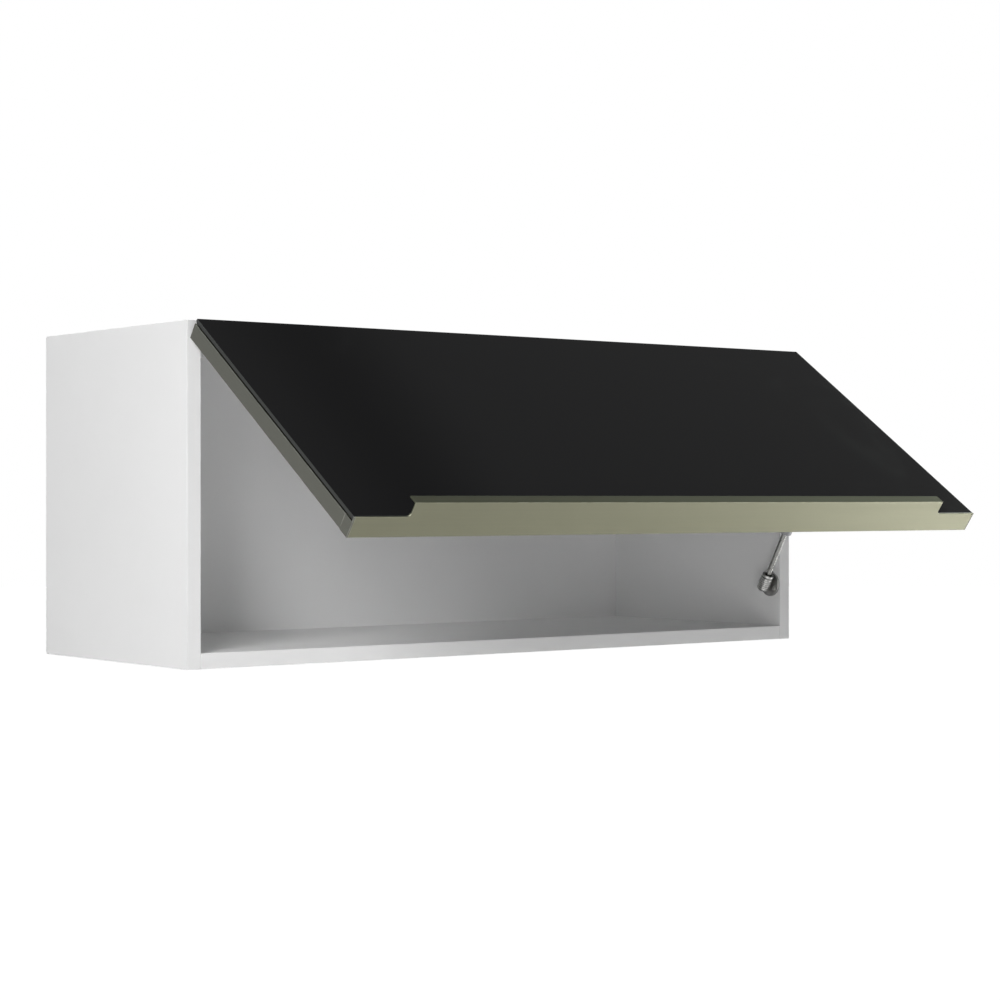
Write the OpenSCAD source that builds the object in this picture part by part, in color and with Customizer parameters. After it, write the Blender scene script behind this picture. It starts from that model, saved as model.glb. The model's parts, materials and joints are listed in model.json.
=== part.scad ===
// Lift-up wall cabinet: a white board carcass, a framed glass door hinged along its top edge
// and one gas strut on the right. X runs to the right, Y towards the wall and Z up.
// The origin lies on the back face, midway between the two wall fixing holes.
// The door is drawn lifted, and its own sizes are given as if it hung closed.

/* [Carcass] */
// Overall width
cab_w = 800; // [700:10:900]
// Overall height
cab_h = 331.5; // [320:0.5:400]
// Overall depth, back panel and edge bands included
cab_d = 293; // [280:1:350]
// Thickness of the boards
board_t = 15; // [15:1:18]
// Thickness of the back panel
back_t = 3; // [3:0.5:5]
// How far the back panel stays inside the boards' outer edges
back_inset = 1; // [0.5:0.5:3]
// Thickness of the bands on the boards' front edges
band_t = 0.8; // [0.4:0.1:1.5]

/* [Board joints] */
// Cam fittings: distances from the carcass front
cam_at = [48, 238]; // [30:1:250]
// Dowels: distances from the carcass front
dowel_at = [90, 196]; // [30:1:250]
// Diameter of a cam
cam_d = 15; // [12:1:15]
// Depth of a cam's bore
cam_depth = 12; // [10:0.5:12]
// Distance from a board's end to its cam's centre
cam_reach = 34; // [24:1:34]
// Diameter of a cam's bolt
cam_bolt_d = 6.8; // [6:0.1:7]
// Diameter of a cam bolt's thread, which is screwed into a side
cam_thread_d = 5; // [4:0.5:6]
// Diameter of a dowel
dowel_d = 8; // [6:1:8]
// Length of a dowel
dowel_l = 30; // [20:1:32]
// Distance between the nails along the top and bottom edges of the back panel
nail_pitch = 155; // [120:1:165]
// Diameter of a nail's shank
nail_d = 1.6; // [1.2:0.1:2]

/* [Wall brackets] */
// Distance from the cabinet's top down to the wall fixing holes
hole_drop = 40; // [38:1:60]
// Distance between the two wall fixing holes
hole_span = 720; // [600:1:720]
// Diameter of the wall fixing holes
hole_d = 7; // [5:0.5:8]
// Height of a wall bracket
bracket_h = 48; // [40:1:48]
// Width of a bracket's flange on the back panel
bracket_w = 45; // [40:1:50]
// Length of a bracket's flange on the side
bracket_l = 48; // [40:1:60]
// Thickness of a bracket's steel
bracket_t = 2; // [1.5:0.5:3]

/* [Door] */
// How far the door is lifted from closed, in degrees
open_angle = 54.83; // [0:0.01:54.83]
// Gap between the closed door and each side of the carcass outline
door_side_gap = 2; // [1:0.5:3]
// Distance from the cabinet's top down to the closed door's top edge
door_drop = 7.6; // [6:0.1:8]
// Height of the door
door_h = 322; // [300:1:360]
// Gap between the closed door's back and the carcass front
door_gap = 1.5; // [1.5:0.1:3]
// Width of the frame's rails and stiles
frame_w = 45; // [40:1:50]
// Depth of the frame, back to front
frame_d = 16; // [16:0.5:20]
// Wall thickness of the frame's hollow profiles
wall_t = 1.2; // [1:0.1:1.4]
// Thickness of the bonding tape between frame and glass
tape_t = 1.2; // [1:0.1:2]
// Thickness of the glass
glass_t = 4; // [3:0.5:5]
// How far the glass stays inside the frame at the sides
glass_inset = 0.5; // [0:0.1:2]

/* [Handle rail] */
// Height of the handle rail's box
rail_h = 13; // [12:0.5:16]
// How far the handle rail stands behind the stiles' backs
rail_back = 0.4; // [0:0.1:0.5]
// Thickness of the rail's floor and lip
lip_t = 1.5; // [1.2:0.1:2]
// How far the lip stands in front of the glass
lip_out = 15.1; // [10:0.1:20]
// Height of the lip's upturned edge
lip_h = 10.5; // [8:0.1:14]
// Distance from each end of the rail to the lip
lip_cut = 58.5; // [40:0.5:80]
// Radius where the lip meets the rail's floor
lip_r = 4; // [2:0.5:6]
// Thickness of the rail's end caps
cap_t = 1.5; // [1:0.5:2]

/* [Hinges] */
// Distance from the cabinet's centre to each hinge
hinge_at = 300; // [200:1:310]
// How far the hinge pins stand in front of the carcass
pin_out = 10.7; // [10.7:0.1:11.2]
// Distance from the cabinet's top down to the hinge pins
pin_drop = 12; // [11.8:0.1:12.2]
// Diameter of a hinge pin
pin_d = 2.6; // [2:0.1:2.8]
// Width of a hinge arm
arm_w = 12; // [10:0.5:13]
// Length of a hinge arm behind the carcass front
arm_l = 56; // [50:1:70]
// Wall thickness of a hinge arm
arm_t = 1.8; // [1.5:0.1:2]

/* [Gas strut] */
// Height of the lower stud above the cabinet's base
stud_up = 63.2; // [60:0.1:70]
// Distance from the carcass front back to the lower stud
stud_in = 14.8; // [14.6:0.1:16]
// Distance from the right side's inner face to the strut's centre line
strut_off = 10.4; // [10:0.1:12]
// Height of the door's stud above the door's bottom edge
door_stud_up = 211.25; // [205:0.25:215]
// Distance from the door's back to the door's stud
door_stud_out = 20.2; // [19:0.1:21]
// Diameter of the strut's tube
tube_d = 15; // [12:0.5:15]
// Distance from the lower stud to the tube's near end, with the door lifted
tube_start = 68; // [66:0.5:70]
// Length of the tube
tube_l = 113; // [105:1:115]
// Diameter of the rod
rod_d = 6; // [5:0.5:7]
// Diameter of the sockets on the studs
socket_d = 14; // [12:0.5:14]
// Length of a socket past its stud, on the strut's side
socket_top = 13; // [11:0.5:14]
// Length of a socket past its stud, on the far side
socket_tail = 7; // [6:0.5:8]
// Diameter of the studs
stud_d = 5; // [4:0.5:6]
// Diameter of the round base plate
base_d = 28; // [24:1:28]
// Thickness of the base plate
base_t = 2.5; // [2:0.1:2.7]

/* [Hidden] */

$fn = 48;
eps = 0.01;
// Play round a screw, a dowel or a stud in its bore
play = 0.05;
// Play round a hinge pin in its cup
pin_play = 0.02;
// Play between parts that are slid into each other
slide = 0.1;
// How much deeper a bore is than what stands in it
bore_spare = 0.5;

board_white = [0.88, 0.88, 0.88];
band_white = [0.9, 0.9, 0.9];
frame_colour = [0.45, 0.45, 0.36];
lip_colour = [0.45, 0.44, 0.34];
steel = [0.72, 0.73, 0.74];
dark_steel = [0.42, 0.43, 0.44];
tube_gray = [0.52, 0.52, 0.54];
glass_black = [0.03, 0.03, 0.035];
tape_black = [0.05, 0.05, 0.05];
wood_tan = [0.76, 0.62, 0.42];
bumper_clear = [0.85, 0.87, 0.87];

// Carcass
z_top = hole_drop;
z_base = hole_drop - cab_h;
y_front = -cab_d;
y_board = -back_t;
inner_x = cab_w / 2 - board_t;
board_y0 = y_front + band_t;
top_z = z_top - board_t;
floor_z = z_base + board_t;

// Board joints
// Play round a cam, and of the bolt's head inside it
cam_play = 0.2;
cam_pocket_play = 0.6;
// How far the pocket for the bolt's head goes past the cam's centre
cam_pocket = 4;
// Length, width and depth of the slots in a cam
cam_slot = [8, 1.6, 1.5];
// Length of a cam bolt's thread
cam_thread_l = 10.8;
// Where a cam bolt's neck starts and ends, and where its head ends, from the cam's centre
bolt_steps = [-5, -1, 2.5];
bolt_neck_d = cam_bolt_d * 0.6;
// Lengths of a dowel in the top or bottom board, and in the side
dowel_in = dowel_l * 0.6;
dowel_out = dowel_l - dowel_in;
nail_l = 14;
nail_head_d = 4.6;
nail_head_t = 0.8;
// Heights of the nails in the sides, as shares of the cabinet's height
nail_shares = [0.36, 0.64];

// Wall brackets: distances of the screws from the back panel
bracket_screw_at = [20, 36];

// Hinge line and door
pin_y = y_front - pin_out;
pin_z = z_top - pin_drop;
door_w = cab_w - 2 * door_side_gap;
door_x = door_w / 2;
back_y = y_front - door_gap;
bottom_z = z_top - door_drop - door_h;
glass_y = -frame_d - tape_t - glass_t;
pin_door = [pin_y - back_y, pin_z - bottom_z];
rail_inner_z = door_h - frame_w;
stile_mid = frame_w / 2;
lip_x = door_x - lip_cut;
// Gap between the handle rail's floor and the glass
glass_foot_gap = 0.3;
// The tape: its width, and how far it is set back from the glass's edges and from the rail's floor
tape_w = 8;
tape_edge = 3;
tape_foot = lip_t + 1.5;
// Length of a cap's plug in the handle rail
cap_plug = 8;
// Corner keys above: length and width of a leg, thickness, and distance from the door's edges
key_leg = 66;
key_w = 30;
key_t = 4;
key_edge = 2;
// Their screws: line of the screws, and distances along a leg
key_mid = 16;
key_screw_at = [38, 54];
// Keys below: height, and height of the screw above their foot
foot_key_h = 22;
foot_screw_up = 12;
// Bumpers: diameter, height above the handle rail, distance from the door's side, and squash
bumper_d = 8;
bumper_up = 9;
bumper_in = 6.5;
bumper_squash = 0.2;

// Hinge hardware, measured from the pin
eye_r = 2.8;
under_top = top_z - pin_z;
plate_t = 3;
plate_y = pin_out + 8;
plate_l = arm_l - 10;
// Half widths of a plate's wings, of its body and of the key below it
plate_half = [15, 7, 4];
plate_key_h = 5;
// The wings: from and to
wing_y = [pin_out + 20, pin_out + 36];
plate_screw_x = 11;
arm_top = under_top - plate_t;
arm_h = 13;
arm_low = arm_top - arm_h;
arm_end = pin_out + arm_l;
arm_floor_y = pin_out + 12;
arm_screw_y = [pin_out + 14, pin_out + 42];
// Side view of a crank as [Y, Z] from the pin: down its front, and up its back
crank_front = [[-1.1, -16.5], [2.5, -22], [pin_out + 4, arm_low - 3.2]];
crank_back = [[pin_out + 7, arm_top - 0.2], [pin_out + 5, arm_top - 6], [pin_out - 2, arm_top - 9.6],
    [4.7, -13.9]];
// The cup: half width, wall, lowest and highest point, and depth from the pin
cup_x = 10.5;
cup_t = 1.5;
cup_low = -24;
cup_high = 2.9;
cup_floor_t = 1;
cup_depth = frame_d - wall_t - 0.3 + pin_door[0];
// Its ears: width, thickness, and from and to above the cup's foot
ear_w = 13;
ear_t = 1.2;
ear_z = [cup_low + 4, cup_low + 18];

// Strut, in the plane of the side: [Y, Z]
strut_x = inner_x - strut_off;
low_stud = [y_front + stud_in, z_base + stud_up];
high_stud_closed = [back_y + door_stud_out, bottom_z + door_stud_up];
function turned(p, c, a) =
    [c[0] + (p[0] - c[0]) * cos(a) - (p[1] - c[1]) * sin(a),
     c[1] + (p[0] - c[0]) * sin(a) + (p[1] - c[1]) * cos(a)];
high_stud = turned(high_stud_closed, [pin_y, pin_z], -open_angle);
strut_run = high_stud - low_stud;
strut_l = norm(strut_run);
strut_lean = atan2(-strut_run[0], strut_run[1]);
tube_wall = 1.2;
tube_bore = tube_d - 2 * tube_wall;
// The tube's rolled ends, as [inwards, from the end]
tube_roll = [[tube_wall, 0], [0.9, 0.25], [0.25, 1], [0, 2.2]];
gland_l = 12;
plug_l = 8;
piston_l = 8;
// The piston's groove: depth and width
piston_groove = [1, 2];
rod_neck_d = rod_d * 0.6;
// How far the rod's neck stands out of the piston, and how far the piston stays from the gland
neck_out = 1;
piston_gap = 3;
rod_end = tube_start + gland_l + piston_gap + piston_l;
// Sockets: where the rod is seated, and how far a stud goes past the strut's centre line
rod_seat = 5;
stud_past = 4;
ribs = 6;
rib_pitch = 2.4;
// A socket's outline, as [inwards, up]: corner of the tail, one rib with its groove, and the rim
tail_corner = [[1.2, 0], [0.3, 0.9]];
first_rib = 2;
rib = [[0, 0], [0, 1.5], [0.45, 1.7], [0.45, 2.2]];
rim = [[0, -2.2], [0.4, 0], [1.8, 0], [2.2, -3]];
// Screws of the base plate: distance from the stud, and direction
base_screw_r = 9.5;
base_screw_angle = 215;
// The door's bracket: inner face, thickness, half height and far end of its foot
foot_x = inner_x - 21;
foot_t = 2;
foot_half = 17;
foot_end = inner_x - 2;
foot_screw_at = 12;
// Its arm: half height, and diameter and height of the boss round the stud
foot_arm_half = 8;
boss_d = 8;
boss_h = 0.8;

// Screw sizes: [shank diameter, head diameter, head height, length under the head]
wood_screw = [3.6, 7.4, 2, 11];
small_screw = [2.8, 5.4, 1.5, 8];
machine_screw = [3.8, 7, 2, 13];
key_screw = [2.8, 5.4, 1.5, 5];
upright_screw = [2.8, 5, 1.5, 9];
// Cross recess: length and width as shares of the head's diameter, and depth as one of its height
recess = [0.56, 0.14, 0.6];
// Top of a round head as a share of its diameter
head_taper = 0.7;

// The joints' places, for whoever writes the record
echo(pin = [0, pin_y, pin_z], low_stud = low_stud, high_stud = high_stud, closed = high_stud_closed);
echo(strut_l = strut_l, lean = strut_lean, closed_l = norm(high_stud_closed - low_stud));

// ---------- helpers ----------

module both_sides() {
    children();
    mirror([1, 0, 0]) children();
}

// Draws a 2D shape given as [Y, Z] from x0 to x1
module along_x(x0, x1) translate([x0, 0, 0]) rotate([90, 0, 90]) linear_extrude(x1 - x0) children();

// Draws a 2D shape given as [X, Z] from y0 to y1
module along_y(y0, y1) translate([0, y1, 0]) rotate([90, 0, 0]) linear_extrude(y1 - y0) children();

module rod_x(x0, x1, y, z, d) translate([x0, y, z]) rotate([0, 90, 0]) cylinder(d = d, h = x1 - x0);

module rod_y(y0, y1, x, z, d) translate([x, y0, z]) rotate([-90, 0, 0]) cylinder(d = d, h = y1 - y0);

module block(lo, hi) translate(lo) cube(hi - lo);

// Places what is drawn in the closed door's own frame: Y 0 is its back face and Z 0 its bottom edge
module on_door()
    translate([0, pin_y, pin_z]) rotate([-open_angle, 0, 0])
        translate([0, back_y - pin_y, bottom_z - pin_z]) children();

// Places what is drawn along the strut: its own Z runs from the lower stud to the upper one
module on_strut()
    translate([strut_x, low_stud[0], low_stud[1]]) rotate([strut_lean, 0, 0]) children();

// A screw whose head's underside lies at Z 0 and whose shank points down
module screw(s, csk = false) {
    translate([0, 0, -s[3]]) cylinder(d = s[0], h = s[3] + eps);
    if (csk) difference() {
        translate([0, 0, -s[2]]) cylinder(d1 = s[0], d2 = s[1], h = s[2]);
        cross_recess(s, 0);
    }
    else difference() {
        cylinder(d1 = s[1], d2 = s[1] * head_taper, h = s[2]);
        cross_recess(s, s[2]);
    }
}

module cross_recess(s, top)
    for (a = [0, 90]) rotate([0, 0, a])
        translate([-s[1] * recess[0] / 2, -s[1] * recess[1] / 2, top - s[2] * recess[2]])
            cube([s[1] * recess[0], s[1] * recess[1], s[2]]);

// The bore for such a screw, with its countersink
module screw_bore(s, csk = false) {
    translate([0, 0, -s[3] - bore_spare]) cylinder(d = s[0] + 2 * play, h = s[3] + bore_spare + eps);
    if (csk) translate([0, 0, -s[2] - 2 * play])
        cylinder(d1 = s[0] + 2 * play, d2 = s[1] + 4 * play, h = s[2] + 2 * play + eps);
}

// ---------- carcass ----------

// Marks each end of the top and bottom boards: X 0 is the joint's face, and X runs into the board
module board_ends(top) {
    z = top ? z_top - board_t / 2 : z_base + board_t / 2;
    both_sides() translate([-inner_x, y_front, z]) children();
}

module cam_bores(top) board_ends(top) {
    for (y = cam_at) translate([0, y, 0]) {
        translate([cam_reach, 0, top ? board_t / 2 - cam_depth : -board_t / 2 - eps])
            cylinder(d = cam_d, h = cam_depth + eps);
        rod_x(-eps, cam_reach, 0, 0, cam_bolt_d + 2 * play);
    }
    for (y = dowel_at) rod_x(-eps, dowel_in + bore_spare, y, 0, dowel_d + 2 * play);
}

module side_bores() for (top = [false, true]) board_ends(top) {
    for (y = cam_at) rod_x(-cam_thread_l - bore_spare, eps, y, 0, cam_thread_d + 2 * play);
    for (y = dowel_at) rod_x(-dowel_out - bore_spare, eps, y, 0, dowel_d + 2 * play);
}

// Centres of the nails as [X, Z], kept off the cams' places
function nail_points() = [
    for (i = [-2:2], z = [z_base + board_t / 2, z_top - board_t / 2]) [i * nail_pitch, z],
    for (s = [-1, 1], k = nail_shares) [s * (cab_w / 2 - board_t / 2), z_base + cab_h * k]];

module nails(extra = 0) for (p = nail_points()) {
    rod_y(-back_t - nail_l - extra, -nail_head_t + eps, p[0], p[1], nail_d + 2 * extra);
    rod_y(-nail_head_t - extra, 0, p[0], p[1], nail_head_d + 2 * extra);
}

module wall_holes() both_sides()
    rod_y(-back_t - bracket_t - eps, eps, hole_span / 2, 0, hole_d);

module side_panel() difference() {
    block([-cab_w / 2, board_y0, z_base], [-inner_x, y_board, z_top]);
    side_bores();
    wall_bracket_screw_places() screw_bore(wood_screw);
    nails(play);
}

module left_side_panel() color(board_white) side_panel();

module right_side_panel() color(board_white) difference() {
    mirror([1, 0, 0]) side_panel();
    base_screw_places() screw_bore(small_screw, true);
}

module top_panel() color(board_white) difference() {
    block([-inner_x, board_y0, top_z], [inner_x, y_board, z_top]);
    cam_bores(true);
    hinge_plate_screw_places() screw_bore(wood_screw);
    nails(play);
}

module bottom_panel() color(board_white) difference() {
    block([-inner_x, board_y0, z_base], [inner_x, y_board, floor_z]);
    cam_bores(false);
    nails(play);
}

module back_panel() color(board_white) difference() {
    block([-cab_w / 2 + back_inset, -back_t, z_base + back_inset],
        [cab_w / 2 - back_inset, 0, z_top - back_inset]);
    wall_holes();
    nails(play);
}

module side_band() color(band_white)
    block([-cab_w / 2, y_front, z_base], [-inner_x, board_y0, z_top]);

module left_edge_band() side_band();

module right_edge_band() mirror([1, 0, 0]) side_band();

module top_edge_band() color(band_white)
    block([-inner_x, y_front, top_z], [inner_x, board_y0, z_top]);

module bottom_edge_band() color(band_white)
    block([-inner_x, y_front, z_base], [inner_x, board_y0, floor_z]);

// One cam with its head at the board's outer face and a pocket for the bolt's head
module cam(top) translate([cam_reach, 0, 0]) difference() {
    translate([0, 0, top ? board_t / 2 - cam_depth + cam_play : -board_t / 2])
        cylinder(d = cam_d - cam_play, h = cam_depth - cam_play);
    rod_x(-cam_d, cam_pocket, 0, 0, cam_bolt_d + cam_pocket_play);
    for (a = [0, 90]) rotate([0, 0, a])
        translate([-cam_slot[0] / 2, -cam_slot[1] / 2, top ? board_t / 2 - cam_slot[2] : -board_t / 2 - eps])
            cube(cam_slot + [0, 0, eps]);
}

module cam_locks() color(steel)
    for (top = [false, true]) board_ends(top) for (y = cam_at) translate([0, y, 0]) cam(top);

module cam_bolts() color(steel)
    for (top = [false, true]) board_ends(top) for (y = cam_at) {
        rod_x(-cam_thread_l, 0, y, 0, cam_thread_d);
        rod_x(0, cam_reach + bolt_steps[0], y, 0, cam_bolt_d);
        rod_x(cam_reach + bolt_steps[0], cam_reach + bolt_steps[1], y, 0, bolt_neck_d);
        rod_x(cam_reach + bolt_steps[1], cam_reach + bolt_steps[2], y, 0, cam_bolt_d);
    }

module joint_dowels() color(wood_tan)
    for (top = [false, true]) board_ends(top)
        for (y = dowel_at) rod_x(-dowel_out, dowel_in, y, 0, dowel_d);

module back_panel_nails() color(steel) nails();

// ---------- wall brackets ----------

// Into the left side: one screw above and one below the bracket's middle
module wall_bracket_screw_places()
    for (i = [0, 1])
        translate([-inner_x + bracket_t, y_board - bracket_screw_at[i], (1 - 2 * i) * bracket_h / 4])
            rotate([0, 90, 0]) children();

module wall_bracket() color(steel) difference() {
    union() {
        block([-inner_x, y_board - bracket_t, -bracket_h / 2],
            [-inner_x + bracket_w, y_board, bracket_h / 2]);
        block([-inner_x, y_board - bracket_l, -bracket_h / 2],
            [-inner_x + bracket_t, y_board, bracket_h / 2]);
    }
    wall_holes();
    wall_bracket_screw_places() screw_bore(wood_screw);
}

module wall_bracket_left() wall_bracket();

module wall_bracket_right() mirror([1, 0, 0]) wall_bracket();

module wall_bracket_screws() color(steel)
    both_sides() wall_bracket_screw_places() screw(wood_screw);

// ---------- hinges ----------

// Moves to the left hinge's pin, with the carcass's axes
module at_hinge() translate([-hinge_at, pin_y, pin_z]) children();

module plate_screw_places() for (s = [-1, 1])
    translate([s * plate_screw_x, (wing_y[0] + wing_y[1]) / 2, arm_top]) rotate([180, 0, 0]) children();

module hinge_plate_screw_places() both_sides() at_hinge() plate_screw_places() children();

module arm_screw_places() for (y = arm_screw_y) translate([0, y, arm_low]) rotate([180, 0, 0]) children();

module hinge_plate() color(steel) at_hinge() difference() {
    union() {
        block([-plate_half[0], wing_y[0], arm_top], [plate_half[0], wing_y[1], under_top]);
        block([-plate_half[1], plate_y, arm_top], [plate_half[1], plate_y + plate_l, under_top]);
        block([-plate_half[2], plate_y, arm_top - plate_key_h], [plate_half[2], plate_y + plate_l, arm_top]);
    }
    plate_screw_places() screw_bore(wood_screw);
    arm_screw_places() screw_bore(machine_screw);
}

module hinge_plate_left() hinge_plate();

module hinge_plate_right() mirror([1, 0, 0]) hinge_plate();

module hinge_plate_screws() color(steel) hinge_plate_screw_places() screw(wood_screw);

// Side view of an arm as [Y, Z] from the pin: eye, crank through the door's back, body under the plate
module arm_outline() difference() {
    union() {
        circle(r = eye_r);
        polygon(concat([[-eye_r + slide, 0]], crank_front, [[arm_floor_y, arm_low], [arm_end, arm_low],
            [arm_end, crank_back[0][1]]], crank_back, [[eye_r - slide, 0]]));
    }
    circle(d = pin_d + 2 * play);
}

module hinge_arm() color(steel) at_hinge() difference() {
    union() {
        both_sides() along_x(arm_w / 2 - arm_t, arm_w / 2) arm_outline();
        block([-arm_w / 2 + arm_t / 2, arm_floor_y, arm_low],
            [arm_w / 2 - arm_t / 2, arm_end, arm_low + arm_t]);
    }
    arm_screw_places() screw_bore(machine_screw);
}

module hinge_arm_left() hinge_arm();

module hinge_arm_right() mirror([1, 0, 0]) hinge_arm();

module hinge_arm_screws() color(dark_steel) both_sides() at_hinge()
    arm_screw_places() screw(machine_screw);

// Moves to the left hinge's pin in the closed door's frame
module at_door_pin() translate([-hinge_at, pin_door[0], pin_door[1]]) children();

module cup_screw_places() for (s = [-1, 1])
    translate([s * (cup_x + ear_w / 2), -pin_door[0] + ear_t, (ear_z[0] + ear_z[1]) / 2])
        rotate([-90, 0, 0]) children();

// Housing in the top rail that carries the pin, open at the back for the arm
module hinge_cup() color(steel) on_door() at_door_pin() difference() {
    union() {
        block([-cup_x, -cup_depth, cup_low], [cup_x, -pin_door[0], cup_high]);
        block([-cup_x - ear_w, -pin_door[0], ear_z[0]], [cup_x + ear_w, -pin_door[0] + ear_t, ear_z[1]]);
    }
    block([-cup_x + cup_t, -cup_depth + cup_floor_t, cup_low + cup_t], [cup_x - cup_t, frame_d, frame_d]);
    rod_x(-cup_x - eps, cup_x + eps, 0, 0, pin_d + 2 * pin_play);
    cup_screw_places() screw_bore(small_screw);
}

module hinge_cup_left() hinge_cup();

module hinge_cup_right() mirror([1, 0, 0]) hinge_cup();

module hinge_cup_screws() color(steel) both_sides() on_door() at_door_pin() cup_screw_places()
    screw(small_screw);

module hinge_pin() color(dark_steel) on_door() at_door_pin() rod_x(-cup_x, cup_x, 0, 0, pin_d);

module hinge_pin_left() hinge_pin();

module hinge_pin_right() mirror([1, 0, 0]) hinge_pin();

// ---------- door ----------

// Distances from the door's side and top edge of the screws through the frame's back into the keys
function key_points() = concat(
    [for (at = key_screw_at) [key_mid, at]], [for (at = key_screw_at) [at, key_mid]],
    [[stile_mid, door_h - rail_h - foot_screw_up]]);

module key_screw_places() both_sides()
    for (p = key_points()) translate([door_x - p[0], 0, door_h - p[1]]) rotate([-90, 0, 0]) children();

// Screws that stand up from inside the handle rail into the stiles' keys
module upright_screw_places() both_sides()
    translate([door_x - stile_mid, -frame_d / 2, rail_h - wall_t]) rotate([180, 0, 0]) children();

module top_rail() color(frame_colour) on_door() difference() {
    along_y(-frame_d, 0) polygon([[-door_x, door_h], [door_x, door_h],
        [door_x - frame_w, rail_inner_z], [-door_x + frame_w, rail_inner_z]]);
    block([-door_x, -frame_d + wall_t, rail_inner_z + wall_t], [door_x, -wall_t, door_h - wall_t]);
    both_sides() at_door_pin() {
        block([-cup_x - slide, -pin_door[0] - 2 * wall_t, cup_low - slide],
            [cup_x + slide, frame_d, cup_high + slide]);
        cup_screw_places() screw_bore(small_screw);
    }
    key_screw_places() screw_bore(small_screw, true);
}

module stile() on_door() difference() {
    along_y(-frame_d, 0) polygon([[-door_x, rail_h], [-door_x + frame_w, rail_h],
        [-door_x + frame_w, rail_inner_z], [-door_x, door_h]]);
    block([-door_x + wall_t, -frame_d + wall_t, 0], [-door_x + frame_w - wall_t, -wall_t, door_h]);
    key_screw_places() screw_bore(small_screw, true);
}

module left_stile() color(frame_colour) stile();

module right_stile() color(frame_colour) difference() {
    mirror([1, 0, 0]) stile();
    on_door() bracket_screw_places() screw_bore(small_screw);
}

// End view of the handle rail without its lip, as [Y, Z]
module rail_outline() union() {
    polygon([[-frame_d, 0], [rail_back, 0], [rail_back, rail_h], [-frame_d, rail_h]]);
    polygon([[glass_y, 0], [-frame_d + eps, 0], [-frame_d + eps, lip_t], [glass_y, lip_t]]);
}

module rail_cavity(slack = 0) polygon([[-frame_d + wall_t + slack, lip_t + slack],
    [rail_back - wall_t - slack, lip_t + slack], [rail_back - wall_t - slack, rail_h - wall_t - slack],
    [-frame_d + wall_t + slack, rail_h - wall_t - slack]]);

// Plan of the lip as [X, Y], with a hollow corner at each end where it leaves the rail
module lip_plan() {
    translate([-lip_x, glass_y - lip_out]) square([2 * lip_x, lip_out + lip_t]);
    for (s = [-1, 1]) scale([s, 1]) difference() {
        translate([lip_x - eps, glass_y - lip_r]) square([lip_r + eps, lip_r + lip_t]);
        translate([lip_x + lip_r, glass_y - lip_r]) circle(r = lip_r);
    }
}

module handle_rail() color(lip_colour) on_door() difference() {
    union() {
        along_x(-door_x + cap_t, door_x - cap_t) rail_outline();
        linear_extrude(lip_t) lip_plan();
        block([-lip_x, glass_y - lip_out, 0], [lip_x, glass_y - lip_out + lip_t, lip_h]);
    }
    along_x(-door_x, door_x) rail_cavity();
    upright_screw_places() screw_bore(upright_screw);
}

module handle_cap() color(lip_colour) on_door() {
    along_x(-door_x, -door_x + cap_t) rail_outline();
    along_x(-door_x + cap_t - eps, -door_x + cap_t + cap_plug) rail_cavity(slide);
}

module handle_cap_left() handle_cap();

module handle_cap_right() mirror([1, 0, 0]) handle_cap();

module top_corner_keys() color(steel) both_sides() on_door() difference() {
    along_y(-wall_t - slide - key_t, -wall_t - slide) translate([door_x, door_h]) polygon([
        [-key_edge, -key_edge], [-key_leg, -key_edge], [-key_leg, -key_w], [-key_w, -key_w],
        [-key_w, -key_leg], [-key_edge, -key_leg]]);
    key_screw_places() screw_bore(small_screw, true);
}

module bottom_corner_keys() color(steel) both_sides() on_door() difference() {
    block([door_x - frame_w + wall_t + slide, -frame_d + wall_t + slide, rail_h],
        [door_x - wall_t - slide, -wall_t - slide, rail_h + foot_key_h]);
    key_screw_places() screw_bore(small_screw, true);
    upright_screw_places() screw_bore(upright_screw);
}

module corner_key_screws() color(steel) on_door() {
    key_screw_places() screw(key_screw, true);
    upright_screw_places() screw(upright_screw);
}

module glass_panel() color(glass_black) on_door()
    block([-door_x + glass_inset, glass_y, lip_t + glass_foot_gap],
        [door_x - glass_inset, glass_y + glass_t, door_h]);

// Four strips of bonding tape
module glass_tape() color(tape_black) on_door() {
    for (z = [tape_foot, door_h - tape_edge - tape_w])
        block([-door_x + tape_edge, -frame_d - tape_t, z], [door_x - tape_edge, -frame_d, z + tape_w]);
    both_sides() block([door_x - tape_edge - tape_w, -frame_d - tape_t, tape_foot + tape_w],
        [door_x - tape_edge, -frame_d, door_h - tape_edge - tape_w]);
}

module door_bumpers() color(bumper_clear) both_sides() on_door()
    rod_y(0, door_gap - bumper_squash, door_x - bumper_in, rail_h + bumper_up, bumper_d);

// ---------- strut ----------

module bracket_screw_places() for (s = [-1, 1])
    translate([strut_x, foot_t, door_stud_up + s * foot_screw_at]) rotate([-90, 0, 0]) children();

module strut_bracket() color(steel) on_door() difference() {
    union() {
        block([foot_x, 0, door_stud_up - foot_half], [foot_end, foot_t, door_stud_up + foot_half]);
        block([foot_x, 0, door_stud_up - foot_arm_half],
            [foot_x + foot_t, door_stud_out, door_stud_up + foot_arm_half]);
        rod_x(foot_x, foot_x + foot_t, door_stud_out, door_stud_up, 2 * foot_arm_half);
        rod_x(foot_x, foot_x + foot_t + boss_h, door_stud_out, door_stud_up, boss_d);
    }
    bracket_screw_places() screw_bore(small_screw);
}

module strut_bracket_screws() color(steel) on_door() bracket_screw_places() screw(small_screw);

module base_screw_places() for (s = [-1, 1])
    translate([inner_x - base_t, low_stud[0] + s * base_screw_r * cos(base_screw_angle),
        low_stud[1] + s * base_screw_r * sin(base_screw_angle)]) rotate([0, -90, 0]) children();

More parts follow.
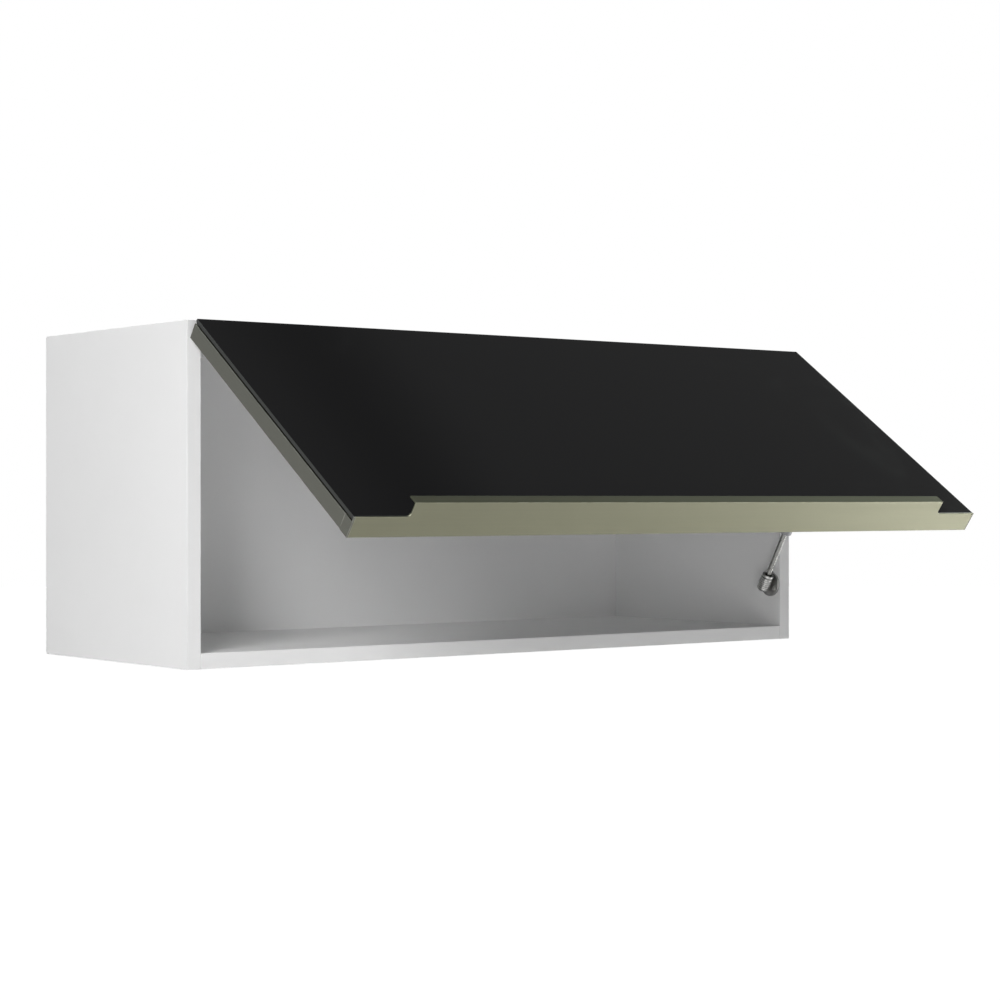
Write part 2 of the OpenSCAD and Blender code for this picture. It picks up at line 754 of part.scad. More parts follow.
module strut_base() color(dark_steel) difference() {
    union() {
        rod_x(inner_x - base_t, inner_x, low_stud[0], low_stud[1], base_d);
        rod_x(strut_x - stud_past, inner_x - base_t + eps, low_stud[0], low_stud[1], stud_d);
    }
    base_screw_places() screw_bore(small_screw, true);
}

module strut_base_screws() color(steel) base_screw_places() screw(small_screw, true);

module post(z0, z1, d) translate([0, 0, z0]) cylinder(d = d, h = z1 - z0);

// Points given as [inwards, up], placed on the socket's skin from a height
function on_skin(points, z) = [for (p = points) [socket_d / 2 - p[0], z + p[1]]];

// A plain tail, ribs, and a rim that is hollow round the rod
module socket_shape() rotate_extrude() polygon(concat(
    [[0, -socket_tail]], on_skin(tail_corner, -socket_tail),
    [for (i = [0:ribs - 1]) each on_skin(rib, -socket_tail + first_rib + i * rib_pitch)],
    on_skin(rim, socket_top), [[0, socket_top + rim[3][1]]]));

// A socket with its bores, whose stud comes in from +X
module socket() difference() {
    socket_shape();
    rod_x(-stud_past - slide, socket_d, 0, 0, stud_d + 2 * play);
    post(rod_seat, rod_seat + socket_top, rod_d + 2 * play);
}

module strut_lower_socket() color(steel) on_strut() socket();

module strut_upper_socket() color(steel) on_strut() translate([0, 0, strut_l]) rotate([0, 180, 0]) socket();

module strut_rod() color(steel) on_strut() {
    post(rod_seat + slide, rod_end - piston_l, rod_d);
    post(rod_end - piston_l - eps, rod_end + neck_out, rod_neck_d);
}

module strut_piston() color(dark_steel) on_strut() translate([0, 0, rod_end - piston_l]) difference() {
    post(0, piston_l, tube_bore - 2 * slide);
    post(-eps, piston_l + eps, rod_neck_d + 2 * play);
    translate([0, 0, (piston_l - piston_groove[1]) / 2]) rotate_extrude()
        translate([tube_bore / 2 - piston_groove[0], 0]) square(piston_groove[1]);
}

// Both ends of the tube are rolled in, over the gland and over the end plug
module strut_tube() color(tube_gray) on_strut() translate([0, 0, tube_start]) rotate_extrude() polygon(concat(
    [for (p = tube_roll) [tube_d / 2 - p[0], p[1]]],
    [for (i = [1:len(tube_roll)]) [tube_d / 2 - tube_roll[len(tube_roll) - i][0],
        tube_l - tube_roll[len(tube_roll) - i][1]]]));

module strut_gland() color(dark_steel) on_strut() difference() {
    post(tube_start, tube_start + gland_l, tube_bore - slide);
    post(tube_start - eps, tube_start + gland_l + eps, rod_d + 2 * play);
}

module strut_end_plug() color(dark_steel) on_strut() {
    post(tube_start + tube_l - plug_l, tube_start + tube_l, tube_bore - slide);
    post(tube_start + tube_l - eps, strut_l - rod_seat - slide, rod_d);
}

left_side_panel();
right_side_panel();
top_panel();
bottom_panel();
back_panel();
left_edge_band();
right_edge_band();
top_edge_band();
bottom_edge_band();
cam_locks();
cam_bolts();
joint_dowels();
back_panel_nails();
wall_bracket_left();
wall_bracket_right();
wall_bracket_screws();
hinge_plate_left();
hinge_plate_right();
hinge_plate_screws();
hinge_arm_left();
hinge_arm_right();
hinge_arm_screws();
hinge_cup_left();
hinge_cup_right();
hinge_cup_screws();
hinge_pin_left();
hinge_pin_right();
top_rail();
left_stile();
right_stile();
handle_rail();
handle_cap_left();
handle_cap_right();
top_corner_keys();
bottom_corner_keys();
corner_key_screws();
glass_panel();
glass_tape();
door_bumpers();
strut_bracket();
strut_bracket_screws();
strut_base();
strut_base_screws();
strut_lower_socket();
strut_rod();
strut_piston();
strut_tube();
strut_gland();
strut_end_plug();
strut_upper_socket();
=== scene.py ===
# %% [markdown]
# # A lift-up wall cabinet
# The real cabinet is a white board carcass that hangs on a wall, with one wide flap door: black glass
# bonded to a brushed aluminium frame. A gas strut on the right holds the flap up.
# Its construction is already modelled, with each board, hinge and screw at its real size, so this
# lesson is about how it looks. The solids could be shown as they come, but they have knife edges and
# one flat colour each. So what the eye meets first is rounded or rebuilt, and all of it gets a finish
# made of nodes. Nothing is moved: every piece takes its place from the construction.

# %% Load the construction
import json
import math

import bmesh
import bpy
from mathutils import Matrix, Vector

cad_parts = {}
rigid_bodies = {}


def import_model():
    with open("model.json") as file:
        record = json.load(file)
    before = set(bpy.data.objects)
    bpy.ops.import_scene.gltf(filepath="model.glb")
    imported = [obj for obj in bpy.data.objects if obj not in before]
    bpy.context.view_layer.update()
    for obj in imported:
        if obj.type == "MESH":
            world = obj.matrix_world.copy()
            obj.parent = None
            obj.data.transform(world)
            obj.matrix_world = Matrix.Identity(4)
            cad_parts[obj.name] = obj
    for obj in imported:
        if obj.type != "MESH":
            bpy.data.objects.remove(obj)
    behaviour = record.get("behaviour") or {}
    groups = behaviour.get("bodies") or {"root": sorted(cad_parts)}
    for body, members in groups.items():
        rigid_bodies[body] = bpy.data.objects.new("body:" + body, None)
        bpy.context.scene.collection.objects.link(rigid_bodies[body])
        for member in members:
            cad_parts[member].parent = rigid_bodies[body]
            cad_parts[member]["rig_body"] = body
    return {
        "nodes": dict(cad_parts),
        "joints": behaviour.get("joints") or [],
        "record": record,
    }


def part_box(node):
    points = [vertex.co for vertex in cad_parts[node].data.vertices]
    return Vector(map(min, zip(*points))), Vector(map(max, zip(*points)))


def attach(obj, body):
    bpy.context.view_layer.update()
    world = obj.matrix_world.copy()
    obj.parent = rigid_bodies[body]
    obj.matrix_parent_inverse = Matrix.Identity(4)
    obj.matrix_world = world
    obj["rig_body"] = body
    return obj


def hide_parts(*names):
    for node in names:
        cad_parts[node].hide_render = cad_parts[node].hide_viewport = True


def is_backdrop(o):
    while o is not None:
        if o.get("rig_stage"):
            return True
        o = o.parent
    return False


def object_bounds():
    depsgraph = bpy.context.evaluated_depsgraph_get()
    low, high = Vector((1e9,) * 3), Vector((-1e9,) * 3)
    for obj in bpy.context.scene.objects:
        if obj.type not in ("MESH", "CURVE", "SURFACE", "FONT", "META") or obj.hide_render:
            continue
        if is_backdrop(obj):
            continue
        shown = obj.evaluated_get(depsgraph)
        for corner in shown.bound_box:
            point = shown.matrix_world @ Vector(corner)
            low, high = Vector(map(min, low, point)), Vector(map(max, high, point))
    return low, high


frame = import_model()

MM = 0.001
cad_low, cad_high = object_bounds()
print("nodes", len(frame["nodes"]), "size", [round(x, 4) for x in cad_high - cad_low])

# %% [markdown]
# ## Two moving frames
# The door is drawn lifted and the strut leans, but both are easier to shape upright. The joints say
# where the door's pin and the strut's foot are and how far each is turned, so two matrices can carry
# upright shapes into place. Measuring angles by eye in the viewport would work too, but the joints
# know them exactly.

# %% Frames of the door and the strut
joints = {joint["name"]: joint for joint in frame["joints"]}
pin = Vector(joints["door_lift"]["pos_m"])
lift = math.radians(-joints["door_lift"]["range_deg"][0])
strut_foot = Vector(joints["strut_swing"]["pos_m"])
strut_axis = Vector(joints["strut_extend"]["axis"])
lean = math.atan2(-strut_axis.y, strut_axis.z)
ON_DOOR = Matrix.Translation(pin) @ Matrix.Rotation(-lift, 4, "X") @ Matrix.Translation(-pin)
ON_STRUT = Matrix.Translation(strut_foot) @ Matrix.Rotation(lean, 4, "X")
print("door lifted by", round(math.degrees(lift), 2), "strut leans", round(math.degrees(lean), 2))


# %% A node's box in any of these frames
def box_in(place, name):
    """Lowest and highest corner of a node, measured in the frame that place carries into the model."""
    back = place.inverted()
    points = [back @ vertex.co for vertex in frame["nodes"][name].data.vertices]
    low = Vector([min(p[i] for p in points) for i in range(3)])
    high = Vector([max(p[i] for p in points) for i in range(3)])
    return low, high


for name in ("glass_panel", "handle_rail"):
    print(name, [round(x / MM, 1) for x in box_in(ON_DOOR, name)[1] - box_in(ON_DOOR, name)[0]], "mm")

# %% [markdown]
# ## Camera
# The photograph was taken from the left with a long lens, level with the cabinet: its upright edges
# are parallel in the picture. A camera could be moved by hand until the picture fits, but the
# cabinet's straight edges fix it by calculation, and these are the numbers that came out.

# %% Camera
CAMERA_PLACE = (-1.5023, -2.1897, -0.1289)
CAMERA_TILT = math.radians(-0.044)
CAMERA_TURN = math.radians(-37.914)
LENS = 82.75
SENSOR = 36

camera_data = bpy.data.cameras.new("Photo camera")
camera_data.lens = LENS
camera_data.sensor_width = SENSOR
camera = bpy.data.objects.new("Photo camera", camera_data)
camera.location = CAMERA_PLACE
camera.rotation_euler = (math.radians(90) + CAMERA_TILT, 0, CAMERA_TURN)
bpy.context.scene.collection.objects.link(camera)
bpy.context.scene.camera = camera
print("camera at", CAMERA_PLACE, "lens", camera_data.lens)

# %% [markdown]
# ## Adding nodes in a line
# Materials are built from many nodes, and the three steps of adding one, setting it and linking it
# repeat. One helper takes all three: a value goes into a socket, and another node's socket is linked
# to it. The editor does the same with the mouse, but code can be read again later.


# %% Node helpers
# A noise seldom leaves this range, so it is what a noise is stretched from
NOISE_LOW, NOISE_HIGH = 0.3, 0.7


def add(tree, kind, settings=None, **inputs):
    """Adds a shader node. An underscore in an input's name stands for a space."""
    made = tree.nodes.new("ShaderNode" + kind)
    for key, value in (settings or {}).items():
        setattr(made, key, value)
    for key, value in inputs.items():
        feed(tree, made.inputs[key.replace("_", " ")], value)
    return made


def feed(tree, socket, value):
    """Links a socket to another one, or sets its value."""
    if isinstance(value, bpy.types.NodeSocket):
        tree.links.new(value, socket)
    else:
        socket.default_value = value


def math_node(tree, operation, first, second=0.0):
    """One sum, product or comparison of two numbers."""
    made = add(tree, "Math", {"operation": operation})
    feed(tree, made.inputs[0], first)
    feed(tree, made.inputs[1], second)
    return made.outputs[0]


def mix_colors(tree, share, first, second):
    """A colour between two, at a share that changes over the surface."""
    made = add(tree, "Mix", {"data_type": "RGBA"})
    for index, value in ((0, share), (6, first), (7, second)):
        feed(tree, made.inputs[index], value)
    return made.outputs[2]


def remap(tree, value, low, high, new_low, new_high, smooth=False):
    """Stretches one range of numbers over another."""
    settings = {"interpolation_type": "SMOOTHSTEP" if smooth else "LINEAR"}
    made = add(tree, "MapRange", settings, Value=value, From_Min=low, From_Max=high,
               To_Min=new_low, To_Max=new_high)
    return made.outputs["Result"]


def ramp(tree, value, stops):
    """Colours along a range of numbers, given as (position, colour)."""
    made = add(tree, "ValToRGB", Fac=value)
    made.color_ramp.interpolation = "EASE"
    points = made.color_ramp.elements
    while len(points) < len(stops):
        points.new(1.0)
    for point, (position, color) in zip(points, stops):
        point.position = position
        point.color = tuple(color) + (1,)
    return made.outputs["Color"]


print("node helpers are ready")

# %% [markdown]
# ## Studio
# The photograph has a pure white background and soft light from the left. One world of white would
# light the cabinet as well, so each kind of ray sees its own: the camera sees white at strength 1,
# shiny surfaces mirror pale walls, a window and a dark ceiling, and the light that falls on the
# cabinet comes from soft lamps, with a world that is nearly dark. The lifted glass mirrors mostly the
# ceiling, which keeps it black as in the photograph.

# %% World
WHITE = (1, 1, 1, 1)
AMBIENT = (0.02, 0.02, 0.02, 1)
# What shiny surfaces mirror, against the height of the direction: pale walls with a greenish window
# high up, then a dark ceiling with one darker strip in it
WALL = (0.6, 0.6, 0.6)
WALL_TOP = 0.2
WINDOW = (0.88, 1.0, 0.9)
WINDOW_FOOT, WINDOW_TOP = 0.4, 0.565
CEILING = [(0.62, 0.13), (0.66, 0.12), (0.735, 0.115), (0.764, 0.06), (0.79, 0.105), (1.0, 0.07)]

world = bpy.data.worlds.new("Studio")
bpy.context.scene.world = world
world.use_nodes = True
sky = world.node_tree
sky.nodes.clear()
direction = add(sky, "TexCoord").outputs["Generated"]
height = add(sky, "SeparateXYZ", Vector=direction).outputs["Z"]
walls = [(WALL_TOP, WALL), (WINDOW_FOOT, WINDOW), (WINDOW_TOP, WINDOW)]
ceiling = [(place, (gray, gray, gray)) for place, gray in CEILING]
mirrored = ramp(sky, height, walls + ceiling)
rays = add(sky, "LightPath").outputs
shiny = math_node(sky, "MAXIMUM", rays["Is Glossy Ray"], rays["Is Transmission Ray"])
falling = mix_colors(sky, shiny, AMBIENT, mirrored)
seen = mix_colors(sky, rays["Is Camera Ray"], falling, WHITE)
background = add(sky, "Background", Color=seen, Strength=1.0)
add(sky, "OutputWorld", Surface=background.outputs[0])
print("world nodes", len(sky.nodes))

# %% [markdown]
# A wall cabinet hangs well above the floor, so the floor is a wide disk far below it. Its own white
# rises with the distance, so that it joins the white world without a line, and nearby it stays a
# plain pale floor that can hold a shadow. In the door's metal the floor below is mirrored darker, as
# in a room, and no other ray sees its own white, so it lights nothing.

# %% Floor
FLOOR_DROP = 1.45
FLOOR_RADIUS = 40
FLOOR_SIDES = 96
FLOOR_PALE = (0.8, 0.8, 0.8, 1)
FLOOR_ROUGH = 0.9
SPECKLE_SCALE = 60.0
SPECKLE_SHARE = 0.04
NEAR, FAR = 1.5, 4.5
SEEN_GLOW = 0.6
MIRRORED_GLOW = 0.14
# A vector times this keeps its X and Y and loses its height
LEVEL = (1, 1, 0)

shell = bmesh.new()
bmesh.ops.create_circle(shell, cap_ends=True, radius=FLOOR_RADIUS, segments=FLOOR_SIDES)
bmesh.ops.translate(shell, verts=shell.verts, vec=(0, 0, cad_low.z - FLOOR_DROP))
floor_mesh = bpy.data.meshes.new("Floor")
shell.to_mesh(floor_mesh)
shell.free()
floor = bpy.data.objects.new("Floor", floor_mesh)
bpy.context.scene.collection.objects.link(floor)
floor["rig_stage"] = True

floor_paint = bpy.data.materials.new("Floor paint")
floor_paint.use_nodes = True
tree = floor_paint.node_tree
shader = tree.nodes["Principled BSDF"]
place = add(tree, "TexCoord").outputs["Object"]
flat = add(tree, "VectorMath", {"operation": "MULTIPLY"})
feed(tree, flat.inputs[0], place)
flat.inputs[1].default_value = LEVEL
distance = add(tree, "VectorMath", {"operation": "LENGTH"}, Vector=flat.outputs[0]).outputs["Value"]
speckle = add(tree, "TexNoise", Vector=place, Scale=SPECKLE_SCALE, Detail=2.0).outputs["Fac"]
speckled = remap(tree, speckle, NOISE_LOW, NOISE_HIGH, 0, SPECKLE_SHARE)
feed(tree, shader.inputs["Base Color"], mix_colors(tree, speckled, FLOOR_PALE, WHITE))
shader.inputs["Roughness"].default_value = FLOOR_ROUGH
shader.inputs["Specular IOR Level"].default_value = 0.0
shader.inputs["Emission Color"].default_value = WHITE
rays = add(tree, "LightPath").outputs
seen = math_node(tree, "MULTIPLY", rays["Is Camera Ray"],
                 remap(tree, distance, NEAR, FAR, SEEN_GLOW, 1.0, smooth=True))
mirrored = math_node(tree, "MULTIPLY", rays["Is Glossy Ray"],
                     remap(tree, distance, NEAR, FAR, MIRRORED_GLOW, 1.0, smooth=True))
feed(tree, shader.inputs["Emission Strength"], math_node(tree, "ADD", seen, mirrored))
floor_mesh.materials.append(floor_paint)
print("floor at z", round(cad_low.z - FLOOR_DROP, 3))

# %% [markdown]
# Lamps are large, because small ones throw hard shadows. The two key lamps stand at the left, a
# little above the camera. Fill lamps soften the rest, a low one at the right shines up under the
# lifted door, and one behind and above stands for what a pale wall gives back. Lamps could be tuned
# by eye, but here each was rendered alone, and the powers follow the mix that came nearest to the
# photograph.


# %% Lamps
MIDDLE = Vector((0, -0.2, -0.13))
LAMP_DISTANCE = 3.0


def lamp(name, turn, rise, wide, high, watts):
    """A soft lamp that looks at the cabinet, turned to the left from the front and raised."""
    data = bpy.data.lights.new(name, "AREA")
    data.shape = "RECTANGLE"
    data.size, data.size_y = wide, high
    data.energy = watts
    made = bpy.data.objects.new(name, data)
    turn, rise = math.radians(turn), math.radians(rise)
    away = Vector((-math.sin(turn) * math.cos(rise), -math.cos(turn) * math.cos(rise), math.sin(rise)))
    made.location = MIDDLE + LAMP_DISTANCE * away
    made.rotation_euler = (-away).to_track_quat("-Z", "Y").to_euler()
    bpy.context.scene.collection.objects.link(made)


lamp("Key lamp", turn=52, rise=18, wide=1.1, high=0.7, watts=52)
lamp("High key lamp", turn=60, rise=26, wide=1.1, high=0.7, watts=10)
lamp("Camera fill", turn=35, rise=-10, wide=1.8, high=1.8, watts=26)
lamp("Front fill", turn=0, rise=-10, wide=1.8, high=1.8, watts=5)
lamp("Left fill", turn=90, rise=0, wide=1.8, high=1.8, watts=3)
lamp("Right fill", turn=-80, rise=0, wide=1.6, high=1.6, watts=45)
lamp("Low right lamp", turn=-66, rise=-45, wide=1.6, high=1.6, watts=155)
lamp("Wall lamp", turn=180, rise=40, wide=1.8, high=1.8, watts=45)

# %% [markdown]
# ## Effects that several finishes share
# A node group is built once and placed in many materials with its own values. The first one is a
# grain: the pressed face of melamine, the skin of plastic and the crystals of zinc are all fine
# bumps with a slow cloud over them, and only their scale differs.


# %% Group helper
def new_group(name, inputs, outputs):
    """An empty node group with numbers and vectors as its sockets."""
    tree = bpy.data.node_groups.new(name, "ShaderNodeTree")
    for label, kind in inputs:
        tree.interface.new_socket(label, in_out="INPUT", socket_type="NodeSocket" + kind)
    for label in outputs:
        tree.interface.new_socket(label, in_out="OUTPUT", socket_type="NodeSocketFloat")
    given = tree.nodes.new("NodeGroupInput").outputs
    result = tree.nodes.new("NodeGroupOutput").inputs
    return tree, given, result


def place_group(tree, group, **inputs):
    """Puts a group into a material."""
    made = tree.nodes.new("ShaderNodeGroup")
    made.node_tree = group
    for key, value in inputs.items():
        feed(tree, made.inputs[key.replace("_", " ")], value)
    return made.outputs


print("group helpers are ready")

# %% Grain group
grain_group, given, result = new_group(
    "Grain", [("Vector", "Vector"), ("Grain Scale", "Float"), ("Cloud Scale", "Float")],
    ["Grain", "Cloud"])
grain_fine = add(grain_group, "TexNoise", Vector=given["Vector"], Scale=given["Grain Scale"],
                 Detail=3.0, Roughness=0.6)
grain_cloud = add(grain_group, "TexNoise", Vector=given["Vector"], Scale=given["Cloud Scale"],
                  Detail=4.0, Roughness=0.55)
feed(grain_group, result["Grain"], grain_fine.outputs["Fac"])
feed(grain_group, result["Cloud"],
     remap(grain_group, grain_cloud.outputs["Fac"], NOISE_LOW, NOISE_HIGH, 0, 1, smooth=True))
print("group", grain_group.name, len(grain_group.nodes), "nodes")

# %% [markdown]
# Brushed aluminium has long scratches in one direction. Noise that is squeezed across and drawn out
# along the vector's X gives them, without a picture. Each profile turns the vector, so that its own
# lines run along it as they do when it is brushed.

# %% Brushed group
BROAD_SHARE = 0.12
STREAK_LOW, STREAK_HIGH = 0.35, 0.65
brushed_group, given, result = new_group(
    "Brushed lines", [("Vector", "Vector"), ("Lines", "Float"), ("Stretch", "Float")],
    ["Lines", "Streaks"])
across = add(brushed_group, "CombineXYZ", X=given["Stretch"], Y=1.0, Z=1.0)
drawn = add(brushed_group, "VectorMath", {"operation": "MULTIPLY"})
feed(brushed_group, drawn.inputs[0], given["Vector"])
feed(brushed_group, drawn.inputs[1], across.outputs[0])
fine = add(brushed_group, "TexNoise", Vector=drawn.outputs[0], Scale=given["Lines"], Detail=3.0,
           Roughness=0.7)
broad_scale = math_node(brushed_group, "MULTIPLY", given["Lines"], BROAD_SHARE)
broad = add(brushed_group, "TexNoise", Vector=drawn.outputs[0], Scale=broad_scale, Detail=2.0)
feed(brushed_group, result["Lines"],
     remap(brushed_group, fine.outputs["Fac"], NOISE_LOW, NOISE_HIGH, 0, 1))
feed(brushed_group, result["Streaks"],
     remap(brushed_group, broad.outputs["Fac"], STREAK_LOW, STREAK_HIGH, 0, 1, smooth=True))
print("group", brushed_group.name, len(brushed_group.nodes), "nodes")

# %% [markdown]
# Hands and cloths leave faint smears on glass and plated metal. They show only in how sharp a
# reflection is, so this group gives a mask that goes into Roughness.

# %% Smear group
SMEAR_LOW, SMEAR_HIGH = 0.45, 0.75
smear_group, given, result = new_group(
    "Smears", [("Vector", "Vector"), ("Scale", "Float")], ["Smears"])
bent = add(smear_group, "TexNoise", Vector=given["Vector"], Scale=given["Scale"], Detail=5.0,
           Roughness=0.5, Distortion=1.4)
feed(smear_group, result["Smears"],
     remap(smear_group, bent.outputs["Fac"], SMEAR_LOW, SMEAR_HIGH, 0, 1, smooth=True))
print("group", smear_group.name, len(smear_group.nodes), "nodes")

# %% [markdown]
# Edges wear first. The pieces below mark their rounded edges with a number called edge, and this
# group breaks that mark up with noise, so that the wear isn't an even outline.

# %% Edge group
WEAR_LOW, WEAR_HIGH = 0.42, 0.6
LEAST_WEAR = 0.25
edge_group, given, result = new_group(
    "Edge wear", [("Vector", "Vector"), ("Scale", "Float")], ["Edge", "Wear"])
mark = add(edge_group, "Attribute", {"attribute_type": "GEOMETRY", "attribute_name": "edge"})
broken = add(edge_group, "TexNoise", Vector=given["Vector"], Scale=given["Scale"], Detail=3.0)
patches = remap(edge_group, broken.outputs["Fac"], WEAR_LOW, WEAR_HIGH, LEAST_WEAR, 1)
feed(edge_group, result["Edge"], mark.outputs["Fac"])
feed(edge_group, result["Wear"], math_node(edge_group, "MULTIPLY", mark.outputs["Fac"], patches))
print("group", edge_group.name, len(edge_group.nodes), "nodes")


# %% [markdown]
# ## Finishes
# Each finish starts from the same few nodes. Patterns read Object coordinates: the object sits at the
# model's origin, so one metre of the pattern is one metre of cabinet, and a turn brings a pattern in
# line with the lifted door or the strut.


# %% Start of a material, and a grained skin
def start_material(name, turn=(0, 0, 0)):
    """A material, its tree, its shader and the coordinates that its patterns read."""
    made = bpy.data.materials.new(name)
    made.use_nodes = True
    tree = made.node_tree
    tree.nodes.clear()
    shader = add(tree, "BsdfPrincipled")
    add(tree, "OutputMaterial", Surface=shader.outputs[0])
    where = add(tree, "TexCoord").outputs["Object"]
    if any(turn):
        where = add(tree, "Mapping", Vector=where, Rotation=turn).outputs[0]
    return made, tree, shader, where


def bump(tree, shader, height, depth, strength=1.0):
    """Fine relief, as deep as depth in metres."""
    made = add(tree, "Bump", Height=height, Distance=depth, Strength=strength)
    feed(tree, shader.inputs["Normal"], made.outputs[0])


def grained_surface(name, tones, grain_scale, cloud_scale, depth, rough, turn=(0, 0, 0)):
    """A finely grained skin with a slow cloud of two tones. Its roughness runs between two values."""
    made, tree, shader, where = start_material(name, turn)
    grain = place_group(tree, grain_group, Vector=where, Grain_Scale=grain_scale,
                        Cloud_Scale=cloud_scale)
    feed(tree, shader.inputs["Base Color"], mix_colors(tree, grain["Cloud"], *tones))
    feed(tree, shader.inputs["Roughness"],
         remap(tree, grain["Grain"], NOISE_LOW, NOISE_HIGH, *rough))
    bump(tree, shader, grain["Grain"], depth)
    return made, shader


finishes = {}
print("materials start here")

# %% [markdown]
# White boards are chipboard under a melamine paper: matt, with a fine pressed skin and almost no change
# of colour. The front bands are plastic and smoother, and their white is painted a shade darker than the
# boards': painted shade, so that their lit fronts don't come out brighter than the boards' sides.

# %% White boards and bands
WHITE_CLOUDS = 7.0
WHITE_GLOSS = 0.2
finishes["board_white"], board_shader = grained_surface(
    "White melamine", [(0.845, 0.845, 0.845, 1), (0.86, 0.86, 0.86, 1)],
    grain_scale=1500.0, cloud_scale=WHITE_CLOUDS, depth=0.03 * MM, rough=(0.53, 0.63))
# The bands' darker white is painted shade on their lit fronts
finishes["band_white"], band_shader = grained_surface(
    "White edge band", [(0.71, 0.71, 0.71, 1), (0.72, 0.72, 0.72, 1)],
    grain_scale=2500.0, cloud_scale=WHITE_CLOUDS, depth=0.01 * MM, rough=(0.35, 0.45))
for shader in (board_shader, band_shader):
    shader.inputs["Specular IOR Level"].default_value = WHITE_GLOSS
print("white", [finishes[key].name for key in ("board_white", "band_white")])

# %% [markdown]
# The aluminium is brushed and then anodised in a champagne tone. Brushing shows as fine lines in the
# roughness and in the colour, and rounded edges are a little paler where the layer is thin. The handle is
# yellower than the rest of the frame, and it is also painted paler: painted light, for the bright light
# that its lower face catches.


# %% Brushed aluminium
BRUSH_LINES = 2600.0
BRUSH_STRETCH = 0.012
LINE_SHADE = 0.9
LINE_SPREAD = 0.06
STREAK_SPREAD = 0.02
LINE_DEPTH = 0.01 * MM
LINE_STRENGTH = 0.6


def brushed_metal(name, tone, pale, rough, turn):
    """Satin metal with lines along the turned X."""
    made, tree, shader, where = start_material(name, turn)
    brushed = place_group(tree, brushed_group, Vector=where, Lines=BRUSH_LINES, Stretch=BRUSH_STRETCH)
    edge = place_group(tree, edge_group, Vector=where, Scale=90.0)
    dark = tuple(LINE_SHADE * x for x in tone[:3]) + (1,)
    lined = mix_colors(tree, brushed["Lines"], dark, tone)
    feed(tree, shader.inputs["Base Color"], mix_colors(tree, edge["Wear"], lined, pale))
    lines_rough = remap(tree, brushed["Lines"], 0, 1, rough - LINE_SPREAD, rough + LINE_SPREAD)
    streaks = remap(tree, brushed["Streaks"], 0, 1, -STREAK_SPREAD, STREAK_SPREAD)
    feed(tree, shader.inputs["Roughness"], math_node(tree, "ADD", lines_rough, streaks))
    shader.inputs["Metallic"].default_value = 1.0
    bump(tree, shader, brushed["Lines"], LINE_DEPTH, LINE_STRENGTH)
    return made


ALONG_RAIL = (lift, 0, 0)
# The handle's tones are its own yellower colour plus painted light, which makes them paler than the
# frame's
HANDLE_TONES_AND_PAINTED_LIGHT = (0.245, 0.244, 0.172, 1), (0.42, 0.42, 0.33, 1)
FRAME_TONES = (0.155, 0.156, 0.135, 1), (0.3, 0.3, 0.27, 1)
finishes["handle_champagne"] = brushed_metal(
    "Champagne handle", *HANDLE_TONES_AND_PAINTED_LIGHT, rough=0.42, turn=ALONG_RAIL)
finishes["frame_champagne"] = brushed_metal(
    "Champagne rail", *FRAME_TONES, rough=0.45, turn=ALONG_RAIL)
print("aluminium", finishes["handle_champagne"].name)

# %% Brushed aluminium of the stiles, with lines that run down the door
ALONG_STILE = (lift, math.pi / 2, 0)
stile_metal = brushed_metal("Champagne stile", *FRAME_TONES, rough=0.45, turn=ALONG_STILE)
print("aluminium", stile_metal.name)

# %% [markdown]
# The glass is painted black from behind, so it is an opaque deep black with a hard polished surface.
# Its ground edges are matt and as dark, and faint smears soften the reflection here and there.

# %% Black glass and its tape
POLISHED, SMEARED, GROUND = 0.05, 0.13, 0.35
GLASS_TONE = (0.0065, 0.0065, 0.007, 1)
GROUND_TONE = (0.004, 0.005, 0.004, 1)

made, tree, shader, where = start_material("Black glass", ALONG_RAIL)
smears = place_group(tree, smear_group, Vector=where, Scale=5.0)
edge = place_group(tree, edge_group, Vector=where, Scale=300.0)
feed(tree, shader.inputs["Base Color"], mix_colors(tree, edge["Edge"], GLASS_TONE, GROUND_TONE))
polished = remap(tree, smears["Smears"], 0, 1, POLISHED, SMEARED)
feed(tree, shader.inputs["Roughness"],
     math_node(tree, "MAXIMUM", polished, remap(tree, edge["Edge"], 0, 1, 0, GROUND)))
shader.inputs["IOR"].default_value = 1.5
finishes["glass_black"] = made

finishes["tape_black"], shader = grained_surface(
    "Black foam tape", [(0.010, 0.010, 0.010, 1), (0.016, 0.016, 0.016, 1)],
    grain_scale=1400.0, cloud_scale=40.0, depth=0.1 * MM, rough=(0.75, 0.95), turn=ALONG_RAIL)
print("glass and tape", finishes["glass_black"].name, finishes["tape_black"].name)

# %% [markdown]
# Steel fittings are plated. Zinc is dull, with a cloudy crystal pattern, nickel is smoother and
# brighter, the strut's rod is ground and chromed, and its foot plate and gland are plated dark. They
# are one recipe with other values.


# %% Plated steel
WORN_GAIN = 1.25
SKIN_SPREAD = 0.05
SMEAR_SPREAD = 0.1


